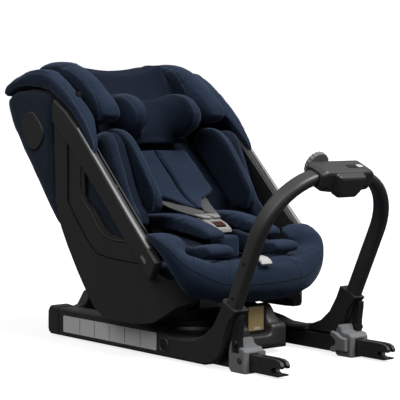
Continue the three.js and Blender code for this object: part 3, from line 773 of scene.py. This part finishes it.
def headrest_back():
    """The middle of the headrest. Its corners sweep into the wings and its top edge dips."""
    blocks = [solid_of("headrest_core")]
    steps, first, pitch, overlap = 8, 84, 4, 0.5
    # Each front point as (y, z), and how far it goes forward and up where the sweep is fullest.
    front = [(304, 580, 0, 0.1), (262, 568, 0.3, 0.5), (222, 512, 0.75, 0.6), (186, 464, 0.7, 0.5)]
    for k in range(steps):
        sweep = 26 * ((k + 1) / steps) ** 2.2
        outline = [(y - sweep * forward, z + sweep * rise) for y, z, forward, rise in front]
        outline += [(178, 452), (222, 504), (268, 558)]
        inner = first + pitch * k
        blocks += slab_pair(outline, inner, inner + pitch + overlap)
    solid = padded(remeshed(merged(blocks), 4 * MM, 8), cap=3)
    for vert in solid.verts:
        near_top = clamped((vert.co.z - 0.53) / 0.05)
        vert.co.z += near_top * (-5 + 15 * clamped(abs(vert.co.x) / 0.1) ** 2) * MM
    # A near-black cord along the crease at the top: painted shade in the crease.
    crease = [Vector((0, 240, 531)) * MM, Vector((-5, 262, 560)) * MM, Vector((-9, 275, 567)) * MM]
    sew("headrest_back", [crease], surface_of(solid), "headrest", cord=0.5)
    add_pad("headrest_core_pad", solid, NAVY_FLAT, "headrest", ["headrest_core"])


headrest_back()


for node, material, form in (
    ("back_cushion", NAVY_FLAT, {"voxel": 6}), ("back_collar", NAVY, {"cap": 4}),
    ("crotch_pad", NAVY, {"voxel": 3.5}),
):
    add_pad(f"{node}_pad", pad_form(node, **form), material, "seat", [node])


def shoulder_flaps():
    """Two broad pads over the shoulder straps. Their tips lift off the straps near the buckle."""
    slope = math.radians(44)
    along = Vector((0, math.cos(slope), math.sin(slope)))
    away = Vector((0, -math.sin(slope), math.cos(slope)))
    corner = Vector((0, 24, 282)) * MM
    half = [(1.2, -28), (9, -27), (42, 8), (88, 33), (91, 40), (86, 150), (80, 158), (1.2, 160)]
    flap = slab(half, 1.5, 14.5, "front")
    for vert in flap.verts:
        vert.co = corner + Vector((vert.co.x, 0, 0)) + along * vert.co.z + away * vert.co.y
    left = padded(remeshed(flap, 2.5 * MM, 2), shrink=0.3, cap=2.5)
    bend, tip_length, tip_lift = 40, 68, 18
    for vert in left.verts:
        reach = (vert.co - corner).dot(along) / MM
        if reach < bend:
            vert.co += away * ((bend - reach) / tip_length) ** 2 * tip_lift * MM
    hem = [(6, -20), (11, -18), (44, 16), (81, 40), (79, 150)]
    above = away * 20
    for word, side, solid in halves(left):
        line = [
            corner + Vector((side * x * MM, 0, 0)) + (along * up + above) * MM for x, up in hem
        ]
        sew(f"shoulder_pad_{word}", [line], surface_of(solid), "seat")
        nodes = ["shoulder_pads"] if side > 0 else []
        add_pad(f"shoulder_pad_{word}", solid, NAVY, "seat", nodes)


shoulder_flaps()

# Rim seam of the apron along its left half, from the strut to the middle.
APRON_RIM = [
    (218, -132, 247), (215, -155, 237), (209, -179, 223), (197, -196, 205), (182, -208, 188),
    (152, -221, 171), (112, -230, 154), (56, -235, 148), (0, -237, 147),
]
APRON_PANELS = [
    [(170, -214, 183), (165, -203, 199), (150, -186, 209), (132, -168, 206)],
    [(97, -231, 151), (94, -226, 168), (82, -210, 186), (62, -184, 192)],
]


def apron():
    """The seat's front apron and the cushion behind it, with the sewn panels of its cover, their
    seams darkened by cords of painted shade.
    """
    rim = [*on_side(APRON_RIM, -1), *on_side(APRON_RIM[-2::-1], 1)]
    panels = [on_side(line, side) for line in APRON_PANELS for side in (1, -1)]
    form = {"voxel": 5, "smoothing": 8, "cap": 4, "depth": 1.6, "width": 2.6}
    solid = pad_form("seat_cushion", seams=[rim, *panels], **form)
    nearest = surface_of(solid)
    # Near-black cords along the rim and panel seams: painted shade in their grooves.
    sew("seat_apron_rim", [rim], nearest, "seat", cord=0.8)
    sew("seat_apron_panels", panels, nearest, "seat", cord=0.6)
    add_pad("seat_apron", solid, NAVY, "seat", ["seat_cushion"])


apron()


def back_shell():
    """Knit-covered shell behind the struts, fuller at its upper corners."""
    solid = pad_form("upper_back_shell", voxel=5.5, smoothing=10, shrink=0, cap=1.5)
    fullness = 9 * MM
    for vert in solid.verts:
        height = clamped((vert.co.z - 0.33) / 0.12)
        corner = clamped((abs(vert.co.x) - 0.09) / 0.09)
        vert.co.y += fullness * height * corner * clamped((vert.co.y - 0.2) / 0.1)
    add_pad("upper_back_shell_pad", solid, SHELL_KNIT, "seat", ["upper_back_shell"])


back_shell()


# ---- Harness ----
TONGUE = [(2, -30), (8, -24), (26, -30), (30, -44), (22, -62), (4, -66), (2, -50)]
TONGUE_THICK = 5
# Each strap's name, the way its face looks, and its route on the left.
STRAPS = (
    ("shoulder", (0, -0.6, 0.8), [(52, 44, 306), (44, 18, 291), (30, -14, 281), (15, -44, 273.5)]),
    ("lap", (0, -0.35, 0.94), [(92, 22, 240), (62, 2, 250), (38, -22, 261), (18, -44, 268)]),
)


def harness():
    """Straps from under the shoulder pads and beside the hips to two tongues in the buckle."""
    for word, side in SIDES:
        for kind, up, route in STRAPS:
            path = curve_through(on_side(route, side))
            strap = swept(path, [Vector(up)] * len(path), strap_section(32 * MM, 1.8 * MM))
            add_piece(f"{kind}_strap_{word}", strap, BELT, "seat")
        plate = [(x, y, BUCKLE_Z + BUCKLE_TILT * (y - BUCKLE_Y)) for x, y in TONGUE]
        tongue = lofted([
            on_side([(x, y, z + lift) for x, y, z in plate], side) for lift in (0, TONGUE_THICK)
        ])
        bevelled(tongue, 1.6, 3)
        add_piece(f"tongue_{word}", tongue, BUCKLE, "seat")


harness()

# ---- Hard parts ----
for word, side in SIDES:
    for node in ("base_rail", "rail_cap"):
        crisp(f"{node}_{word}", CHARCOAL)
    crisp(f"rebound_post_{word}", DEEP)
    crisp(f"side_cover_{word}", CHARCOAL, 1.5)
    crisp(f"inset_panel_{word}", PANEL, 1.0)
    crisp(f"side_strut_{word}", PANEL, 1.0)
    crisp(f"impact_pad_{word}", PANEL, 1.0)
    crisp(f"isofix_bracket_{word}", GREY)
    crisp(f"release_lever_{word}", GREY)
    crisp(f"isofix_arm_{word}", DARK_STEEL, 0.8)
    crisp(f"isofix_hook_{word}", STEEL, 0.5)
    crisp(f"extend_button_{word}", DEEP, 0.8)
for node in ("base_pan", "rear_bridge", "recline_cradle", "recline_handle", "turntable_disc"):
    crisp(node, CHARCOAL)
crisp("front_panel", DEEP, 0.8)
for node in ("rebound_tube", "rotation_lever"):
    crisp(node, SATIN)
crisp("rebound_knob", GREY, 0.6)
for node in ("bearing_ring", "isofix_crossbar", "recline_runner"):
    crisp(node, STEEL, 0.5)
crisp("seat_shell", CHARCOAL, 0.8)
crisp("buckle_body", BUCKLE, 3.2)
crisp("buckle_button", RED, 0.8)
crisp("harness_tab", TAB, 0.8)


def softened(name, node, body, voxel, smoothing):
    """A moulded form whose corners flow into each other."""
    form = remeshed(solid_of(node), voxel * MM, smoothing)
    add_piece(name, form, SATIN, body, [node])


softened("front_dome", "front_housing", "base", voxel=3.0, smoothing=12)
softened("rebound_grip", "rebound_housing", "rebound_bar", voxel=1.8, smoothing=4)

WINDOW = [
    (100, 372), (95, 312), (82, 295), (58, 280), (27, 248), (4, 235), (-33, 229), (-56, 229),
    (-40, 262), (60, 366),
]
WINDOW_RIM = [
    (103, 380), (107, 353), (107, 324), (96, 302), (71, 281), (37, 245), (3, 230), (-38, 228),
    (-52, 230),
]


def side_trim():
    """Bright strip along the front of each strut, the window in its panel, and a blank inlay."""
    (foot_y, foot_z), (head_y, head_z) = STRUT_FRONT[0], STRUT_FRONT[-1]
    along = Vector((0, head_y - foot_y, head_z - foot_z)).normalized()
    out = Vector((0, -along.z, along.y))
    wide, narrow = 9, 5  # the strip's width at its foot and its head
    bead_section = round_section(2.2 * MM, 10, 0.8)
    inlay = [along * u + out * v for u, v in rectangle(-10, 10, -3.6, 3.6, 3.4)]
    inlay_places = [(p.y - 114, p.z + 198) for p in inlay]
    bolt_profile = [(7, 0), (7, 3), (5.6, 4), (5.2, 3.2), (0.4, 3.2)]
    for word, side in SIDES:
        path = curve_through(side_points(STRUT_FRONT, 0), 6 * MM)
        rings = []
        for k, place in enumerate(path):
            inner = TRIM_OUTER - wide + (wide - narrow) * k / len(path)
            corners = ((TRIM_OUTER, -0.4), (TRIM_OUTER, 1.2), (inner, 1.2), (inner, -0.4))
            rings.append([
                place + Vector((side * x * MM, 0, 0)) + out * lift * MM for x, lift in corners
            ])
        strip = lofted(rings)
        add_piece(f"strut_trim_{word}", strip, SILVER, "seat")
        lining = slab(WINDOW, side * (SHELL_OUTER + 0.8), side * (SHELL_OUTER + 2.6))
        name = f"window_lining_{word}"
        add_piece(name, lining, SHELL_KNIT, "seat", smooth=False)
        rim = curve_through(side_points(WINDOW_RIM, side * (COVER_OUTER - 2.6)))
        bead = swept(rim, [Vector((side, 0, 0))] * len(rim), bead_section)
        add_piece(f"window_rim_{word}", bead, PANEL, "seat")
        tile = slab(inlay_places, side * (STRUT_OUTER - 0.3), side * (STRUT_OUTER + 0.8), edge=0.3)
        add_piece(f"strut_inlay_{word}", tile, GREY, "seat", smooth=False)
        inner_face = Vector((side * (SHELL_OUTER + 1), 2, 331))
        bolt = turned(inner_face, [(r, -side * x) for r, x in bolt_profile])
        add_piece(f"strut_bolt_{word}", bolt, GREY, "seat")


side_trim()


def rebound_details():
    """Screws in the legs, dark tiles of painted shade for the pin holes and slot of the grip
    housing, and its light window.
    """
    lean = Vector((0, -math.sin(BAR_LEAN), math.cos(BAR_LEAN)))
    face = Vector((0, -lean.z, lean.y))
    profile = [(3.6, 0), (3.6, 0.7), (3.0, 1.1), (2.2, 0.5), (0.3, 0.5)]
    screws = []
    for _, side in SIDES:
        outer_face = Vector((side * (BAR_X + BAR_THICK / 2 - 0.2), 0, 0))
        for up in (13, 86):
            place = BAR_FOOT + lean * up + outer_face
            screws.append(turned(place, [(r, side * x) for r, x in profile]))
    add_piece("leg_screws", merged(screws), DEEP, "rebound_bar")
    middle = BAR_FOOT + lean * BAR_RISE

    def grip_tile(name, box, out, thick, material, on_top=False):
        """A rounded tile on the front of the housing, or on its top. box is x0, x1, up0, up1."""
        up, away = (face, lean) if on_top else (lean, face)
        corner = min(2.4, (box[3] - box[2]) / 2.1)
        tile = lofted([
            [
                (middle + Vector((u, 0, 0)) + up * v + away * depth) * MM
                for u, v in rectangle(*box, corner)
            ]
            for depth in (out, out + thick)
        ])
        add_piece(name, tile, material, "rebound_bar", smooth=False)

    front, top = BAR_DEEP / 2 + 7.8, 16.2
    # Dark tiles where the housing has a pin hole and a slot: painted shade of the holes.
    for word, side in SIDES:
        x0, x1 = sorted((side * 46, side * 57))
        box = (x0, x1, -17, -11.5)
        grip_tile(f"grip_hole_shade_{word}", box, front, 1.5, DEEP)
    # A dark tile for the slot in the housing's top: painted shade in the slot.
    grip_tile("grip_slot_shade", (8, 34, -2, 10), top, 1.4, DEEP, on_top=True)
    grip_tile("grip_window", (34, 48, -1, 9), top, 1.6, LABEL, on_top=True)


rebound_details()


def on_both_faces(side, half, places, profile):
    """Forms turned on both faces of an anchor bracket or arm, at the given (y, z) places."""
    parts = []
    for way in (side, -side):
        face_x = side * BRACKET_X + way * half
        outwards = [(radius, way * x) for radius, x in profile]
        parts += [turned(Vector((face_x, y, z)), outwards) for y, z in places]
    return merged(parts)


def base_details():
    """Blank labels, rivets, rings round the buttons, and pins on the anchor arms."""
    outer = -RAIL_OUTER
    strip = slab(rectangle(-95, 226, 14, 49, 3), outer - 0.7, outer + 0.2)
    add_piece("rail_label", strip, LABEL, "base", smooth=False)
    bars = [
        slab(rectangle(y, y + 1.1, 16, 47, 0.4), outer - 1.0, outer - 0.5)
        for y in range(-44, 200, 52)
    ]
    add_piece("rail_label_lines", merged(bars), SATIN, "base", smooth=False)
    card = slab(rectangle(-21, 19, 49, 97, 2), PANEL_FRONT - 0.9, PANEL_FRONT + 0.2, "front")
    add_piece("housing_card", card, CARD, "base", smooth=False)
    foot = slab(rectangle(-6, 9, 51, 56, 1), PANEL_FRONT - 1.3, PANEL_FRONT - 0.7, "front")
    add_piece("housing_card_patch", foot, LABEL, "base", smooth=False)
    collar = ((11.6, 0), (14.8, 0), (14.8, 0.8), (13.6, 1.8), (12.2, 1.6), (11.6, 0.6))
    rivet = [(6.2, 0), (6.2, 0.9), (5.2, 1.5), (4.4, 0.9), (2.4, 0.8), (2.0, 1.5), (0.3, 1.6)]
    pin = [(1.9, 0), (1.9, 0.5), (1.3, 0.8), (0.2, 0.8)]
    for word, side in SIDES:
        middle = Vector((side * RAIL_OUTER, BUTTON_Y, BUTTON_Z))
        ring = turned(middle, [(r, side * x) for r, x in collar])
        caps = [face for face in ring.faces if len(face.verts) > 4]
        bmesh.ops.delete(ring, geom=caps, context="FACES_ONLY")
        bmesh.ops.bridge_loops(ring, edges=[edge for edge in ring.edges if edge.is_boundary])
        add_piece(f"button_ring_{word}", ring, SATIN, "base")
        rivets = on_both_faces(side, BRACKET_HALF, [(-333, 24)], rivet)
        add_piece(f"bracket_rivets_{word}", rivets, SATIN, "base")
        pins = on_both_faces(side, ARM_HALF, [(-352, 22), (-359, 21), (-374, 24)], pin)
        add_piece(f"arm_pins_{word}", pins, DEEP, "anchor_carriage")


base_details()


# ---- Floor, light and camera ----
FLOOR_HALF = 30
FLOOR_GLOW = 0.8
SKY_LOW, SKY_HIGH = 0.06, 0.6  # strength below and above, as the object is lit
BACKDROP = 1.02  # strength of the sky as the camera sees it
# Each lamp's direction, its angle in degrees and its power: the key light, then the fill.
SUNS = (((0.4, -0.9, 1.5), 35, 3.6), ((-1.0, -0.1, 0.9), 45, 0.95))
CAMERA_PLACE = (-1.9073, -2.2984, 0.4777)
CAMERA_TURN = (86.589, 0, -39.97)  # degrees
FOCAL_LENGTH = 129.24


def lay_floor():
    """A pale floor that the camera sees, and that adds no light of its own to the object."""
    grid = bmesh.new()
    bmesh.ops.create_grid(grid, x_segments=1, y_segments=1, size=FLOOR_HALF)
    mesh = bpy.data.meshes.new("floor")
    grid.to_mesh(mesh)
    grid.free()
    plane = bpy.data.objects.new("floor", mesh)
    bpy.context.collection.objects.link(plane)
    paint = Shader("floor", Roughness=0.9, Emission_Strength=FLOOR_GLOW)
    paint.surface.inputs["Base Color"].default_value = (0.3, 0.3, 0.3, 1)
    paint.surface.inputs["Specular IOR Level"].default_value = 0.0
    paint.surface.inputs["Emission Color"].default_value = (1, 1, 1, 1)
    mesh.materials.append(paint.material)
    plane.visible_diffuse = False
    plane.visible_glossy = False


def light_world():
    """Two soft suns and a sky that brightens upwards, which the camera sees as plain white."""
    world = bpy.data.worlds.new("studio")
    bpy.context.scene.world = world
    world.use_nodes = True
    tree = world.node_tree
    background = tree.nodes["Background"]
    background.inputs["Color"].default_value = (1, 1, 1, 1)
    direction = tree.nodes.new("ShaderNodeTexCoord")
    height = tree.nodes.new("ShaderNodeSeparateXYZ")
    sky = tree.nodes.new("ShaderNodeMapRange")
    path = tree.nodes.new("ShaderNodeLightPath")
    choice = tree.nodes.new("ShaderNodeMix")
    tree.links.new(direction.outputs["Generated"], height.inputs[0])
    tree.links.new(height.outputs["Z"], sky.inputs["Value"])
    sky.inputs["From Min"].default_value = -0.3
    sky.inputs["From Max"].default_value = 0.9
    sky.inputs["To Min"].default_value = SKY_LOW
    sky.inputs["To Max"].default_value = SKY_HIGH
    tree.links.new(path.outputs["Is Camera Ray"], choice.inputs["Factor"])
    tree.links.new(sky.outputs["Result"], choice.inputs["A"])
    choice.inputs["B"].default_value = BACKDROP
    tree.links.new(choice.outputs["Result"], background.inputs["Strength"])
    for place, angle, power in SUNS:
        lamp = bpy.data.lights.new("sun", "SUN")
        lamp.angle = math.radians(angle)
        lamp.energy = power
        holder = bpy.data.objects.new("sun", lamp)
        holder.rotation_euler = (-Vector(place)).to_track_quat("-Z", "Y").to_euler()
        bpy.context.collection.objects.link(holder)


def set_camera():
    """The photograph's viewpoint."""
    lens = bpy.data.cameras.new("camera")
    lens.sensor_width = 36
    lens.lens = FOCAL_LENGTH
    camera = bpy.data.objects.new("camera", lens)
    camera.location = CAMERA_PLACE
    camera.rotation_euler = [math.radians(turn) for turn in CAMERA_TURN]
    bpy.context.collection.objects.link(camera)
    bpy.context.scene.camera = camera
    bpy.context.scene.view_settings.view_transform = "Standard"


lay_floor()
light_world()
set_camera()
